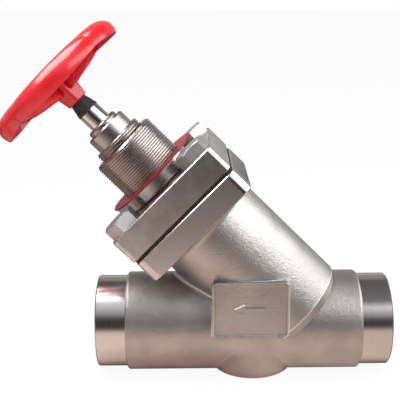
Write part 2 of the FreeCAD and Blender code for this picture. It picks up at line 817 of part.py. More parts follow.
def wheel_arm():
    """One arm: a strap that sweeps up from the hub to the rim, over a deep rib that runs out to the wall."""
    start = hub_flats / 4
    inner = at_crease(lobe_r - rim_width)
    end = inner + arm_lap
    end_top = rim_top - arm_drop
    middle = (start + end) / 2

    def sweep(drop):
        low = hub_top - drop
        high = end_top - drop
        return [(start, low), (middle, low), (middle, high), (end, high)]

    top = sweep(0)
    bottom = sweep(arm_thickness)
    strap = section(top, [top[3], bottom[3]], bottom[::-1], [bottom[0], top[0]])

    rib_low = hub_level + arm_rib_level
    half_wall = rim_wall / 2
    shoulder = (at_crease(lobe_r - rim_shoulder), rim_top - half_wall)
    foot = (at_crease(lobe_r - half_wall - rim_tuck), rim_bottom + rim_scallop + arm_rib_end)
    under = sweep(arm_thickness / 2)
    crown = rounded(foot, shoulder, rim_fullness)
    haunch = (start, rib_low - arm_rib_haunch)
    lower = [haunch, (middle / 2, rib_low), (inner, rib_low), foot]
    rib = section(under, [under[3], shoulder], crown[::-1], lower[::-1], [haunch, under[0]])
    pieces = []
    for face, width in ((strap, arm_width), (rib, arm_rib_thickness)):
        face.translate(FreeCAD.Vector(0, -width / 2, 0))
        pieces.append(face.extrude(FreeCAD.Vector(0, width, 0)))
    return pieces[0].fuse(pieces[1])


def handwheel():
    """The lobed handwheel: a hollow rim, one arm under each crease between lobes, and a square hub."""
    parts = []
    for i in range(lobe_count):
        turn = lobe_turn + i * 360 / lobe_count
        lobe = rim_lobe()
        lobe.rotate(ORIGIN, Z, turn)
        arm = wheel_arm()
        arm.rotate(ORIGIN, Z, turn + 180 / lobe_count)
        parts += [lobe, arm]
    waist = hub_level + hub_foot_height
    outlines = []
    for flats, level in ((hub_foot_flats, hub_level), (hub_flats, waist)):
        outline = block(flats / 2, flats / 2, level, hub_top, hub_corner_radius)
        outlines.append(min(outline.Faces, key=lambda face: face.CenterOfMass.z).OuterWire)
    taper = Part.makeLoft(outlines, True, True)
    foot = [edge for edge in taper.Edges if edge.BoundBox.ZMax < hub_level + edge_break]
    hub = block(hub_flats / 2, hub_flats / 2, waist, hub_top, hub_corner_radius)
    hub = hub.fuse(taper.makeFillet(hub_foot_radius, foot))
    hub.rotate(ORIGIN, Z, lobe_turn + 45)
    wheel = hub.fuse(parts).removeSplitter()
    socket = drive_square(drive_flats / 2 + drive_clearance, hub_level - PAST, stem_end + drive_clearance)
    hole = disc(wheel_screw_dia / 2 + bolt_clearance / 2, hub_level, rim_top)
    spot = disc(wheel_washer_dia / 2 + body_gap, hub_top, rim_top + PAST)
    return placed(wheel.cut(socket).cut(hole).cut(spot), stem_frame)


def wheel_washer():
    inner = wheel_screw_dia / 2 + tapped_clearance
    return placed(ring(inner, wheel_washer_dia / 2, hub_top, washer_top), stem_frame)


def wheel_screw():
    """The screw that holds the wheel on the stem's square."""
    length = washer_top - (stem_end - wheel_screw_grip)
    screw = hex_bolt(wheel_screw_flats, wheel_screw_head, wheel_screw_dia, length, washer_top)
    screw.rotate(ORIGIN, Z, wheel_screw_turn)
    return placed(screw, stem_frame)


nodes = {
    "body": body,
    "bonnet": bonnet,
    "bonnet_gasket": bonnet_gasket,
    "bonnet_bolts": bonnet_bolts,
    "marker_ring": marker_ring,
    "packing_gland": packing_gland,
    "gland_gasket": gland_gasket,
    "gland_o_ring": gland_o_ring,
    "stem_o_ring": stem_o_ring,
    "wiper_ring": wiper_ring,
    "packing_nut": packing_nut,
    "packing_springs": packing_springs,
    "packing_follower": packing_follower,
    "packing_rings": packing_rings,
    "cone": cone_piece,
    "seal_ring": seal_ring,
    "cone_plate": cone_plate,
    "cone_washer": cone_washer,
    "cone_screw": cone_screw,
    "thrust_disc": thrust_disc,
    "cone_retainer": cone_retainer,
    "spindle": spindle,
    "stem_sleeve": stem_sleeve,
    "handwheel": handwheel,
    "wheel_washer": wheel_washer,
    "wheel_screw": wheel_screw,
}

os.makedirs("parts", exist_ok=True)
for name, make in nodes.items():
    shape = make()
    print(name, len(shape.Solids), round(shape.Volume, 1), "valid" if shape.isValid() else "NOT VALID")
    shape.exportStep("parts/" + name + ".step")
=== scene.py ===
import json
import math

import bmesh
import bpy
from mathutils import Matrix, Vector


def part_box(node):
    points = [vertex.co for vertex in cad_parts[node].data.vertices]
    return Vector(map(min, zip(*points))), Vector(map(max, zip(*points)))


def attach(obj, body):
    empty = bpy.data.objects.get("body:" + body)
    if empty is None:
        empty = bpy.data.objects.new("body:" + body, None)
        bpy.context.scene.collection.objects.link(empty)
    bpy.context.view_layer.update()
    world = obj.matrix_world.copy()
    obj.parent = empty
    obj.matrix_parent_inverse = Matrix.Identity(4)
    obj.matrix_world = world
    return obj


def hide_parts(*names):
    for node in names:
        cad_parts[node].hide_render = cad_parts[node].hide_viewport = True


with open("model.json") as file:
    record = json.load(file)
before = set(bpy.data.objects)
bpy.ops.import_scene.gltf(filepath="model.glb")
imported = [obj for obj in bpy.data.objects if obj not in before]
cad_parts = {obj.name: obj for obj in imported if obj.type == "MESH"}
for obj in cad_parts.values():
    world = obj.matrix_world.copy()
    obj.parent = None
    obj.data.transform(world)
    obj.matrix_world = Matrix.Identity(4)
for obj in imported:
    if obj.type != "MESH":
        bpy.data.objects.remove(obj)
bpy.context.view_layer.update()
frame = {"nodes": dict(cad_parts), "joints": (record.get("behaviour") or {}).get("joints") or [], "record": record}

# The camera and the white table
# The valve stands on its foot boss on a white table. A long lens sees it from the side of the name field and
# from slightly above. The camera's place, turn and lens were fitted to the weld ends and the flanges.
mm = 0.001
aim = Vector((-98.48, 0.0, 65.89)) * mm
azimuth, elevation, roll = (math.radians(angle) for angle in (-0.09, 13.17, -0.49))
camera_distance = 440.5 * mm

back = Vector((math.sin(azimuth) * math.cos(elevation), -math.cos(azimuth) * math.cos(elevation),
               math.sin(elevation)))
level_right = Vector((math.cos(azimuth), math.sin(azimuth), 0.0))
level_up = back.cross(level_right)
right = level_right * math.cos(roll) + level_up * math.sin(roll)
up = level_up * math.cos(roll) - level_right * math.sin(roll)

camera_data = bpy.data.cameras.new("camera")
camera_data.lens = 76.085
camera_data.sensor_width = 36.0
camera_data.clip_start = 0.01
camera_data.clip_end = 50.0
camera = bpy.data.objects.new("camera", camera_data)
camera.matrix_world = (Matrix.Translation(aim + back * camera_distance)
                       @ Matrix((right, up, back)).transposed().to_4x4())
bpy.context.collection.objects.link(camera)
bpy.context.scene.camera = camera
bpy.context.scene.view_settings.view_transform = "Standard"


class Value:
    """One output of a shader node. Arithmetic on it adds Math nodes."""

    def __init__(self, finish, socket):
        self.finish = finish
        self.socket = socket

    def math(self, operation, *operands):
        return self.finish.add("ShaderNodeMath", {"operation": operation}, dict(enumerate(operands)))

    def __add__(self, other):
        return self.math("ADD", self, other)

    def __sub__(self, other):
        return self.math("SUBTRACT", self, other)

    def __mul__(self, other):
        return self.math("MULTIPLY", self, other)

    def __rsub__(self, other):
        return self.math("SUBTRACT", other, self)

    def __pow__(self, other):
        return self.math("POWER", self, other)

    def __abs__(self):
        return self.math("ABSOLUTE", self)

    def __neg__(self):
        return 0.0 - self

    __radd__ = __add__
    __rmul__ = __mul__

    def at_least(self, other):
        return self.math("MAXIMUM", self, other)

    def rises(self, low, high):
        """0 below low, 1 above high, and a smooth step between them."""
        return self.finish.add("ShaderNodeMapRange", {"interpolation_type": "SMOOTHSTEP"},
                               {"Value": self, "From Min": low, "From Max": high})

    def falls(self, low, high):
        """1 below low, 0 above high, and a smooth step between them."""
        return 1 - self.rises(low, high)

    def band(self, low, full, fading, high):
        """1 from full to fading, and 0 below low and above high."""
        return self.rises(low, full) * self.falls(fading, high)

    def spread(self, low, high):
        """The value 0 to 1, spread over low to high."""
        return self * (high - low) + low


class Finish:
    """The node tree of a material or a world."""

    def __init__(self, owner):
        self.owner = owner
        owner.use_nodes = True
        self.tree = owner.node_tree
        self.tree.nodes.clear()

    def add(self, kind, settings, sockets, output=0):
        """A node of this kind. Its settings come first, then its sockets' values or links."""
        node = self.tree.nodes.new(kind)
        for name, setting in settings.items():
            if name == "stops":
                ramp = node.color_ramp
                while len(ramp.elements) < len(setting):
                    ramp.elements.new(1.0)
                for element, (position, colour) in zip(ramp.elements, setting):
                    element.position = position
                    element.color = (*colour, 1.0)
            else:
                setattr(node, name, setting)
        for key, value in sockets.items():
            if isinstance(value, Value):
                self.tree.links.new(value.socket, node.inputs[key])
            elif isinstance(value, tuple) and len(node.inputs[key].default_value) == 4:
                node.inputs[key].default_value = (*value, 1.0)
            else:
                node.inputs[key].default_value = value
        return Value(self, node.outputs[output]) if node.outputs else None

    def place(self):
        """The place on the piece, in metres."""
        return self.add("ShaderNodeTexCoord", {}, {}, "Object")

    def parts_of(self, vector):
        """The three numbers of a vector."""
        return [self.add("ShaderNodeSeparateXYZ", {}, {0: vector}, axis) for axis in "XYZ"]

    def noise(self, vector, scale, detail=2.0, roughness=0.5):
        return self.add("ShaderNodeTexNoise", {}, {"Vector": vector, "Scale": scale, "Detail": detail,
                                                   "Roughness": roughness})

    def lines(self, distance, scale, detail=2.0, roughness=0.5):
        """Noise that changes along one distance only, as tool marks do."""
        return self.add("ShaderNodeTexNoise", {"noise_dimensions": "1D"},
                        {"W": distance, "Scale": scale, "Detail": detail, "Roughness": roughness})

    def stretched(self, vector, factors):
        """The vector with each of its numbers scaled on its own."""
        return self.add("ShaderNodeVectorMath", {"operation": "MULTIPLY"}, {0: vector, 1: factors})

    def scaled(self, colour, factor):
        return self.add("ShaderNodeVectorMath", {"operation": "SCALE"}, {0: colour, "Scale": factor})

    def mix(self, mask, low, high):
        """Two colours, mixed by a mask."""
        return self.add("ShaderNodeMix", {"data_type": "RGBA"}, {0: mask, 6: low, 7: high}, 2)

    def mix_numbers(self, mask, low, high):
        return self.add("ShaderNodeMix", {"data_type": "FLOAT"}, {0: mask, 2: low, 3: high})

    def mix_vectors(self, mask, low, high):
        return self.add("ShaderNodeMix", {"data_type": "VECTOR"}, {0: mask, 4: low, 5: high}, 1)

    def bump(self, height, depth, normal=None):
        sockets = {"Height": height, "Distance": depth, "Strength": 1.0}
        if normal:
            sockets["Normal"] = normal
        return self.add("ShaderNodeBump", {}, sockets)

    def surface(self, sockets):
        """Ends a material in one Principled shader."""
        self.end("ShaderNodeOutputMaterial", self.add("ShaderNodeBsdfPrincipled", {}, sockets))
        return self.owner

    def end(self, kind, shader):
        """Ends the tree in a material's or a world's output."""
        self.add(kind, {}, {"Surface": shader})


def seen_directly(finish):
    """1 for the rays that show the surroundings: straight from the camera, in metal and through glass."""
    rays = ("Is Camera Ray", "Is Glossy Ray", "Is Transmission Ray")
    camera_ray, glossy, through = [finish.add("ShaderNodeLightPath", {}, {}, ray) for ray in rays]
    return camera_ray.at_least(glossy).at_least(through)


world = bpy.data.worlds.new("white_surroundings")
bpy.context.scene.world = world
air = Finish(world)
room_light = air.add("ShaderNodeBackground", {}, {"Color": (1.0, 0.99, 0.975), "Strength": 0.6})
white = air.add("ShaderNodeBackground", {}, {"Color": (1.0, 1.0, 1.0), "Strength": 1.0})
air.end("ShaderNodeOutputWorld",
        air.add("ShaderNodeMixShader", {}, {0: seen_directly(air), 1: room_light, 2: white}))

table = Finish(bpy.data.materials.new("white_table"))
shadowed = table.add("ShaderNodeBsdfDiffuse", {}, {"Color": (0.9, 0.9, 0.9)})
plain = table.add("ShaderNodeEmission", {}, {"Color": (1.0, 1.0, 1.0), "Strength": 1.0})
plain_share = 0.93
table.end("ShaderNodeOutputMaterial",
          table.add("ShaderNodeMixShader", {},
                    {0: seen_directly(table) * plain_share, 1: shadowed, 2: plain}))


def flat_sheet(name, centre, width, material):
    """A level square sheet that belongs to the set."""
    mesh = bpy.data.meshes.new(name)
    half = width / 2
    corners = [centre + Vector((across * half, along * half, 0.0))
               for across, along in ((-1, -1), (1, -1), (1, 1), (-1, 1))]
    mesh.from_pydata(corners, [], [(0, 1, 2, 3)])
    mesh.materials.append(material)
    sheet = bpy.data.objects.new(name, mesh)
    bpy.context.collection.objects.link(sheet)
    return sheet


foot_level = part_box("body")[0].z
table_width = 40.0
flat_sheet("table", Vector((0, 0, foot_level)), table_width, table.owner)

# The paper tent, the wooden sheet and the softboxes
# Bright metal shows what stands around it: a tent of white and grey paper, a wooden sheet under the valve and
# a softbox at each side. A third softbox, overhead, lights the valve and doesn't show in it. Paper and wood
# show in the metal and nowhere else. They glow, so their tones are painted reflections, with painted light and
# shade in them.


def mirrored_only(sheet):
    """Lets a sheet show in the valve's metal and nowhere else."""
    for ray in ("camera", "diffuse", "shadow", "transmission", "volume_scatter"):
        setattr(sheet, "visible_" + ray, False)


def glow(name, tone):
    """A material of an even brightness, whatever falls on it."""
    paper = Finish(bpy.data.materials.new(name))
    paper.end("ShaderNodeOutputMaterial",
              paper.add("ShaderNodeEmission", {}, {"Color": tone(paper), "Strength": 1.0}))
    return paper.owner


# Tones of the glowing wood; shadowed_wood is a painted shadow under the valve.
shadowed_wood = (0.50, 0.33, 0.28)
lit_wood = (1.0, 0.78, 0.67)
far_wood = (0.32, 0.27, 0.255)
dim_wood = (0.17, 0.145, 0.14)


def wood_tone(paper):
    """Painted light on the glowing wood: warm and light beside the valve, a painted shadow of the valve under and
    just behind it, darker to the right, and dim farther off. Distances are in metres.
    """
    x, y, _ = paper.parts_of(paper.place())
    aside = x - aim.x
    away = (aside * aside * 0.4 + y * y) ** 0.5
    # Painted shadow under the valve, lightening beside it.
    tone = paper.mix(away.rises(0.018, 0.055), shadowed_wood, lit_wood)
    tone = paper.mix(away.rises(0.10, 0.34), tone, far_wood)
    tone = paper.mix(away.rises(0.34, 0.56), tone, dim_wood)
    right_shade = aside.rises(0.02, 0.10).spread(1.0, 0.78)
    # A painted shadow of the valve, darkest under it and a little lighter farther behind.
    valve_shade = y.rises(-0.021, -0.006).spread(1.0, 0.2) + y.rises(0.03, 0.07) * 0.25
    return paper.scaled(tone, right_shade * valve_shade)


tent_radius = 1.5
tent_foot = -0.2
# The paper's tone at each pitch. The bands slant a little, which tent_slant gives.
tent_stops = [
    (0.0, (0.03, 0.026, 0.026)), (0.10, (0.05, 0.045, 0.046)), (0.135, (0.22, 0.215, 0.23)),
    (0.165, (0.38, 0.37, 0.395)), (0.28, (0.78, 0.76, 0.79)), (0.37, (1.0, 0.97, 1.0)),
    (0.50, (1.0, 0.97, 1.0)), (0.56, (0.45, 0.42, 0.42)), (0.63, (0.09, 0.08, 0.08)),
    (0.74, (0.10, 0.09, 0.09)), (0.77, (0.36, 0.33, 0.32))]
tent_slant = 0.12
# The tone of the painted shade overhead on the right.
tent_shade_tone = (0.14, 0.13, 0.135)
back_paper = (0.68, 0.65, 0.64)
left_paper = (0.24, 0.22, 0.21)
right_paper = (0.42, 0.41, 0.41)


def tent_tone(paper):
    """Painted light on the glowing tent: dark low in front, a painted shade overhead on the right, light from
    above in front with a painted brighter band overhead on the left, and grey behind.

    Side is in tent radii to the right, and pitch in half turns from low in front over the top to low behind.
    """
    x, y, z = paper.parts_of(paper.place())
    side = (x - aim.x) * (1 / tent_radius)
    pitch = paper.add("ShaderNodeMath", {"operation": "ARCTAN2"}, {0: z - aim.z, 1: -y}) * (1 / math.pi)
    tone = paper.add("ShaderNodeValToRGB", {"stops": tent_stops}, {"Fac": pitch + side * tent_slant})
    # A painted brighter band overhead, on the left and in the middle.
    peak = pitch.band(0.35, 0.43, 0.48, 0.55) * side.falls(-0.05, 0.1)
    tone = paper.scaled(tone, peak * 0.45 + 1.0)
    # Painted shade overhead on the right.
    shaded = side.rises(0.0, 0.1) * pitch.band(0.22, 0.34, 0.74, 0.77)
    tone = paper.mix(shaded, tone, tent_shade_tone)
    tone = paper.mix(pitch.rises(0.90, 0.98), tone, back_paper)
    tone = paper.mix((-side).rises(0.45, 0.85), tone, left_paper)
    return paper.mix(side.rises(0.55, 0.9), tone, right_paper)


tent_mesh = bpy.data.meshes.new("paper_tent")
work = bmesh.new()
bmesh.ops.create_uvsphere(work, u_segments=64, v_segments=32, radius=tent_radius)
bmesh.ops.delete(work, geom=[point for point in work.verts if point.co.z < tent_foot], context="VERTS")
bmesh.ops.translate(work, verts=work.verts, vec=Vector((aim.x, 0, aim.z)))
work.to_mesh(tent_mesh)
work.free()
tent = bpy.data.objects.new("paper_tent", tent_mesh)
bpy.context.collection.objects.link(tent)
tent_mesh.materials.append(glow("tent_paper", tent_tone))
mirrored_only(tent)

wood_width = 3.4
wood_lift = 0.2 * mm
mirrored_only(flat_sheet("wood_sheet", Vector((aim.x, 0, foot_level + wood_lift)), wood_width,
                         glow("wood_paper", wood_tone)))


def softbox(name, bearing, height, distance, width, length, power):
    """A rectangular lamp facing the valve. Its bearing, right of the front, and its height are in degrees."""
    bearing, height = math.radians(bearing), math.radians(height)
    look = Vector((math.sin(bearing) * math.cos(height), -math.cos(bearing) * math.cos(height),
                   math.sin(height)))
    data = bpy.data.lights.new(name, "AREA")
    data.shape = "RECTANGLE"
    data.size = width
    data.size_y = length
    data.energy = power
    lamp = bpy.data.objects.new(name, data)
    lamp.location = aim + look * distance
    lamp.rotation_mode = "QUATERNION"
    lamp.rotation_quaternion = look.to_track_quat("Z", "Y")
    bpy.context.collection.objects.link(lamp)
    return lamp


overhead = softbox("overhead_softbox", bearing=0, height=64, distance=0.8, width=0.8, length=0.8, power=3.6)
overhead.visible_glossy = False
softbox("right_softbox", bearing=76, height=34, distance=0.8, width=1.15, length=0.46, power=5.4)
softbox("left_softbox", bearing=-92, height=56, distance=0.35, width=0.28, length=0.28, power=1.7)

# Body
# One stainless steel casting, bead blasted all over, with a boss underneath as its foot. The weld ends, the
# flange's sides and joint face, and the bores for the seat and the chamber are machined bright.
turn = next(joint for joint in frame["joints"] if joint["name"] == "stem_turn")
stem_axis = Vector(turn["axis"])
stem_origin = Vector(turn["pos_m"])
stem_lean = math.atan2(-stem_axis.x, stem_axis.z)
to_stem = Matrix.Rotation(stem_lean, 4, "Y") @ Matrix.Translation(-stem_origin)


def along_stem(finish, place):
    """The place as seen from the stem: up the slope, sideways, and the level along the axis."""
    return finish.add("ShaderNodeMapping", {"vector_type": "POINT"},
                      {"Vector": place, "Location": tuple(to_stem.translation),
                       "Rotation": (0.0, stem_lean, 0.0)})


def radius_of(a, b):
    return (a * a + b * b) ** 0.5


middle_x = -76.5 * mm
weld_start = 61.0 * mm
pipe_r = 26.0 * mm
flange_low = 78.5 * mm
flange_high = 91.1 * mm
flange_reach = 33.1 * mm
joint_face_reach = 46.0 * mm
flange_corner_z = 27.0 * mm
seat_floor = 14.9 * mm
bore_r = 24.7 * mm
cut_edge = 0.05 * mm

steel = Finish(bpy.data.materials.new("cast_steel"))
place = steel.place()
x, y, z = steel.parts_of(place)
slanted = along_stem(steel, place)
uphill, sideways, level = steel.parts_of(slanted)
stem_r = radius_of(uphill, sideways)
run_r = radius_of(y, z)
weld = abs(x - middle_x).rises(weld_start - cut_edge, weld_start + cut_edge)
flange = (level.rises(flange_low - cut_edge, flange_low + cut_edge)
          * stem_r.rises(flange_reach, flange_reach + 0.2 * mm))
joint_face = (level.rises(flange_high, flange_high + cut_edge)
              * stem_r.falls(joint_face_reach, joint_face_reach + 0.2 * mm))
bores = stem_r.falls(bore_r, bore_r + 0.1 * mm) * level.rises(seat_floor, seat_floor + 0.2 * mm)
milled = flange.at_least(joint_face) * z.rises(flange_corner_z, flange_corner_z + 1.0 * mm)
machined = weld.at_least(milled.at_least(bores))

# The blasted skin is a fine grain on a coarser mottle. The lathe and the mill leave lines.
cast_tones = ((0.45, 0.43, 0.42), (0.53, 0.505, 0.49))
# The tone of the painted highlights on the body's edges.
highlight_tone = (0.92, 0.90, 0.88)
tool_tones = ((0.63, 0.61, 0.60), (0.67, 0.655, 0.645))
cast_roughness = (0.34, 0.50)
tool_roughness = (0.15, 0.26)
cast_depth = 0.28 * mm
tool_depth = 0.003 * mm
grain = steel.noise(place, scale=1300.0, detail=3.0, roughness=0.65)
mottle = steel.noise(place, scale=420.0)
cloud = steel.noise(place, scale=60.0)
turning = steel.lines(x, scale=1400.0, detail=4.0, roughness=0.7)
brushing = steel.noise(steel.stretched(slanted, (60.0, 60.0, 3200.0)), scale=1.0, detail=3.0)
cast_height = grain * 0.55 + mottle * 0.45
tool_height = steel.mix_numbers(weld, brushing, turning)

# The name field's frame has sloped sides.
field_x = -73.6 * mm
field_z = 15.6 * mm
field_half_length = 19.3 * mm
field_half_height = 14.9 * mm
past_side = abs(x - field_x) - field_half_length
past_top = abs(z - field_z) - field_half_height
from_field = past_side.at_least(past_top)
in_front = y.falls(-22.0 * mm, -20.0 * mm)
frame_outside = from_field.falls(-0.5 * mm, 0.7 * mm)
frame_inside = from_field.falls(-2.3 * mm, -1.2 * mm)
frame_height = (frame_outside * 0.5 - frame_inside * 0.5) * in_front

# The foot boss flows up into the barrel, in a skirt that narrows upwards.
boss_x = -71.4 * mm
boss_r = 22.0 * mm
from_boss = x - boss_x
above_crease = z + (from_boss * from_boss + (pipe_r ** 2 - boss_r ** 2)) ** 0.5
flow = above_crease.falls(-3.0 * mm, 6.0 * mm)
flowing = (above_crease.band(-4.5 * mm, -2.5 * mm, 5.5 * mm, 7.5 * mm)
           * abs(from_boss).falls(15.0 * mm, 20.0 * mm) * z.falls(-6.0 * mm, -3.0 * mm))
pipe_side = steel.stretched(place, (0.0, 1.0, 1.0))
boss_side = steel.add("ShaderNodeCombineXYZ", {}, {"X": from_boss, "Y": y, "Z": 0.0})
rounded = steel.add("ShaderNodeVectorMath", {"operation": "NORMALIZE"},
                    {0: steel.mix_vectors(flow, pipe_side, boss_side)})
true_side = steel.add("ShaderNodeNewGeometry", {}, {}, "Normal")
base_side = steel.mix_vectors(flowing, true_side, rounded)
skirt_top = -3.0 * mm
skirt_drop = 18.0 * mm
skirt_widening = 14.0 * mm
skirt_half_width = 7.5 * mm
below_top = (skirt_top - z).at_least(0.0) * (1 / skirt_drop)
from_skirt = abs(from_boss) - (below_top ** 1.2 * skirt_widening + skirt_half_width)
skirt_height = from_skirt.falls(-1.6 * mm, 1.2 * mm) * z.falls(-14.0 * mm, 0.0) * 0.9
form_depth = 1.0 * mm
form_bump = steel.bump(frame_height + skirt_height, form_depth, base_side)

# Painted highlights: the lip of the chamber, the crotch and the upright sides of the frame are painted brighter,
# where light catches these edges.
lip_level = 11.1 * mm
lip_half_width = 0.55 * mm
lip = ((1 - abs(level - lip_level) * (1 / lip_half_width)).at_least(0.0)
       * stem_r.rises(28.4 * mm, 28.8 * mm) * run_r.rises(pipe_r, pipe_r + 0.2 * mm)
       * z.rises(-10.0 * mm, -9.0 * mm))
crotch = (run_r.band(26.15 * mm, 26.5 * mm, 28.4 * mm, 29.0 * mm)
          * stem_r.band(29.2 * mm, 29.6 * mm, 31.5 * mm, 32.5 * mm)
          * y.rises(-27.5 * mm, -27.0 * mm) * x.falls(-62.0 * mm, -60.0 * mm))
frame_side = (past_side.band(-0.7 * mm, -0.3 * mm, 0.3 * mm, 0.7 * mm)
              * past_top.falls(-0.5 * mm, 0.5 * mm) * in_front)
painted_highlight_edges = lip.at_least(crotch).at_least(frame_side)

cast_tone = steel.mix(cloud.rises(0.35, 0.65), *cast_tones)
# The painted highlights lighten the cast tone along these edges.
cast_tone = steel.mix(painted_highlight_edges, cast_tone, highlight_tone)
tool_tone = steel.mix(tool_height.rises(0.3, 0.7), *tool_tones)
cast_steel = steel.surface({
    "Base Color": steel.mix(machined, cast_tone, tool_tone),
    "Metallic": 1.0,
    "Roughness": steel.mix_numbers(machined, grain.spread(*cast_roughness),
                                   tool_height.spread(*tool_roughness)),
    "Normal": steel.mix_vectors(machined, steel.bump(cast_height, cast_depth, form_bump),
                                steel.bump(tool_height, tool_depth))})


def wear(material, *nodes):
    """Gives CAD nodes this material."""
    for node in nodes:
        mesh = frame["nodes"][node].data
        mesh.materials.clear()
        mesh.materials.append(material)
        for face in mesh.polygons:
            face.material_index = 0


wear(cast_steel, "body")

# Flow arrow
# It stands a little proud of the name field's face and shows which way the fluid runs. It is cast in one with
# the body, with sloped sides.
arrow_x = -74.3 * mm
arrow_z = 16.3 * mm
arrow_root = -29.75 * mm
arrow_face = -30.35 * mm
face_scale = 0.86
outline = [(-8.3, 0.0), (-2.6, 2.7), (-2.6, 0.85), (8.3, 0.85), (8.3, -0.85), (-2.6, -0.85), (-2.6, -2.7)]
count = len(outline)
arrow_points = [(arrow_x + along * mm * scale, depth, arrow_z + above * mm * scale)
                for depth, scale in ((arrow_root, 1.0), (arrow_face, face_scale)) for along, above in outline]
sides = [(i, (i + 1) % count, (i + 1) % count + count, i + count) for i in range(count)]
arrow_mesh = bpy.data.meshes.new("flow_arrow")
arrow_mesh.from_pydata(arrow_points, [],
                       sides + [tuple(range(count, 2 * count)), tuple(range(count - 1, -1, -1))])


def facing_out(mesh):
    """Turns every face of a closed mesh outwards."""
    work = bmesh.new()
    work.from_mesh(mesh)
    bmesh.ops.recalc_face_normals(work, faces=work.faces)
    work.to_mesh(mesh)
    work.free()


facing_out(arrow_mesh)
arrow_mesh.materials.append(cast_steel)
arrow = bpy.data.objects.new("flow_arrow", arrow_mesh)
bpy.context.collection.objects.link(arrow)
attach(arrow, "valve")

# Bonnet
# A square plate with a round neck, milled and turned from one piece of stainless steel. Its top carries the
# thread of the seal cap, cut here as a real groove. Fine tool marks run round the stem's axis.
# Painted shade: the tone that darkens a thread's grooves.
groove_shade_tone = (0.56, 0.50, 0.48)


def turned_steel(name, tones, roughness, marks, mark_depth, thread=None):
    """Bright steel with fine tool marks round the stem's axis, and painted shade in a thread's grooves.

    A thread is its root and crest radius, and the lowest and highest level at which it shows.
    """
    bright = Finish(bpy.data.materials.new(name))
    place = bright.place()
    uphill, sideways, level = bright.parts_of(along_stem(bright, place))
    radius = radius_of(uphill, sideways)
    rings = bright.lines(level + radius, marks)
    smear = bright.noise(place, scale=130.0)
    tone = bright.mix(smear.rises(0.3, 0.7), *tones)
    if thread:
        root, crest, low, high = thread
        # The grooves are painted darker, as shade.
        groove = radius.falls(root, crest) * level.band(low - 0.2 * mm, low, high, high + 0.2 * mm)
        tone = bright.mix(groove, tone, groove_shade_tone)
    return bright.surface({"Base Color": tone, "Metallic": 1.0,
                           "Roughness": (rings * 0.6 + smear * 0.4).spread(*roughness),
                           "Normal": bright.bump(rings, mark_depth)})


def levels(node):
    """The lowest and highest level of a CAD node along the stem's axis."""
    found = [stem_axis.dot(point.co - stem_origin) for point in frame["nodes"][node].data.vertices]
    return min(found), max(found)


def merged(node):
    """A copy of a CAD node's mesh with its loose triangles joined."""
    source = frame["nodes"][node].data
    mesh = bpy.data.meshes.new(node + "_copy")
    mesh.from_pydata([point.co for point in source.vertices], [], [face.vertices for face in source.polygons])
    work = bmesh.new()
    work.from_mesh(mesh)
    bmesh.ops.remove_doubles(work, verts=work.verts, dist=0.0005 * mm)
    work.to_mesh(mesh)
    work.free()
    return mesh


def crisp(mesh, angle=30.0):
    """Shades the faces smooth and leaves the edges over the angle sharp."""
    work = bmesh.new()
    work.from_mesh(mesh)
    for face in work.faces:
        face.smooth = True
    for edge in work.edges:
        edge.smooth = len(edge.link_faces) == 2 and edge.calc_face_angle() < math.radians(angle)
    work.to_mesh(mesh)
    work.free()
    return mesh


def stand_in(name, mesh, material, body, node):
    """Shows this mesh in place of a CAD node."""
    piece = bpy.data.objects.new(name, mesh)
    bpy.context.collection.objects.link(piece)
    mesh.materials.clear()
    mesh.materials.append(material)
    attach(piece, body)
    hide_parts(node)


def coil_tree():
    """Geometry Nodes for a coil of diamond section, in the shape of a thread's groove."""
    tree = bpy.data.node_groups.new("groove_coil", "GeometryNodeTree")
    tree.is_modifier = True
    tree.interface.new_socket("Geometry", in_out="OUTPUT", socket_type="NodeSocketGeometry")
    for name, kind in (("Radius", "Float"), ("Pitch", "Float"), ("Turns", "Float"), ("Depth", "Float"),
                       ("Opening", "Float"), ("Steps", "Int"), ("Material", "Material")):
        tree.interface.new_socket(name, in_out="INPUT", socket_type="NodeSocket" + kind)
    sizes = tree.nodes.new("NodeGroupInput").outputs

    def add(kind, settings, links):
        node = tree.nodes.new(kind)
        for name, setting in settings.items():
            setattr(node, name, setting)
        for key, link in links.items():
            tree.links.new(link, node.inputs[key])
        return node.outputs[0]

    rise = add("ShaderNodeMath", {"operation": "MULTIPLY"}, {0: sizes["Pitch"], 1: sizes["Turns"]})
    width = add("ShaderNodeMath", {"operation": "ADD"}, {0: sizes["Depth"], 1: sizes["Depth"]})
    half = add("ShaderNodeMath", {"operation": "MULTIPLY"}, {0: sizes["Opening"]})
    half.node.inputs[1].default_value = 0.5
    spiral = add("GeometryNodeCurveSpiral", {},
                 {"Resolution": sizes["Steps"], "Rotations": sizes["Turns"], "Start Radius": sizes["Radius"],
                  "End Radius": sizes["Radius"], "Height": rise})
    upright = add("GeometryNodeSetCurveNormal", {"mode": "Z_UP"}, {"Curve": spiral})
    diamond = add("GeometryNodeCurvePrimitiveQuadrilateral", {"mode": "KITE"},
                  {"Width": width, "Bottom Height": half, "Top Height": half})
    coil = add("GeometryNodeCurveToMesh", {}, {"Curve": upright, "Profile Curve": diamond})
    coil.node.inputs["Fill Caps"].default_value = True
    whole = add("GeometryNodeRealizeInstances", {}, {"Geometry": coil})
    end = add("GeometryNodeSetMaterial", {}, {"Geometry": whole, "Material": sizes["Material"]})
    tree.links.new(end, tree.nodes.new("NodeGroupOutput").inputs["Geometry"])
    return tree


groove_coil = coil_tree()
steps_per_turn = 72
from_stem = to_stem.inverted()


def evaluated(piece):
    """The mesh of a piece with its modifiers applied."""
    return bpy.data.meshes.new_from_object(piece.evaluated_get(bpy.context.evaluated_depsgraph_get()))


